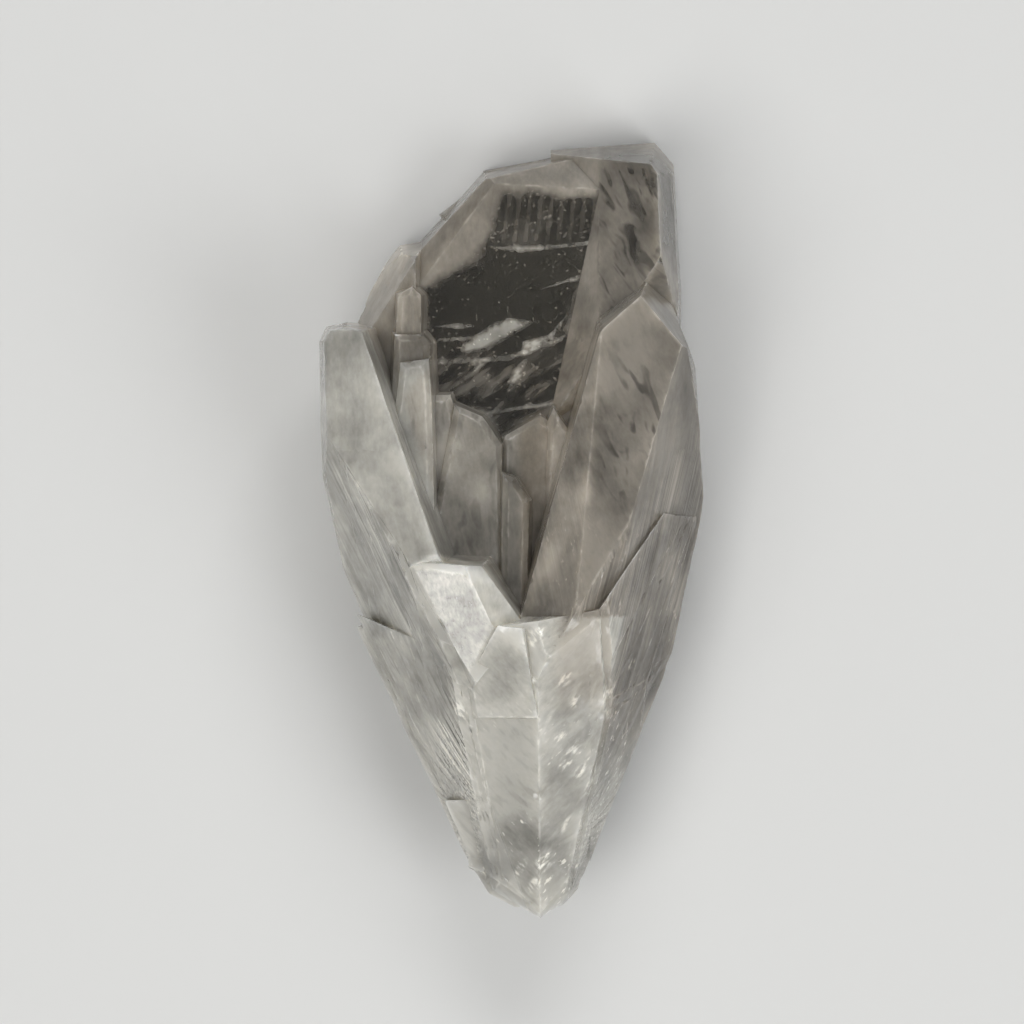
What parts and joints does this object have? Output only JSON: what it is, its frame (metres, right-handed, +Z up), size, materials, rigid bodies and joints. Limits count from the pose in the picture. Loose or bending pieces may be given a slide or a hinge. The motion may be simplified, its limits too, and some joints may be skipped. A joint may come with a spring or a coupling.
{
  "type": "calcite crystal",
  "caption": "Pointed clear to milky calcite crystal with a deep open hollow in its front, lying on its flat back.",
  "frame": {"origin": "on the flat resting back, about halfway from the tip to the top", "axes": "+Y from the pointed tip to the broad top, +X to the right of the open front, +Z up out of the front, away from the resting back"},
  "size_m": [0.0396, 0.0802, 0.0267],
  "materials": {
    "calcite": "clear to milky, with glossy growth faces"
  },
  "bodies": {
    "root": {"calcite_crystal": "calcite"}
  },
  "joints": []
}
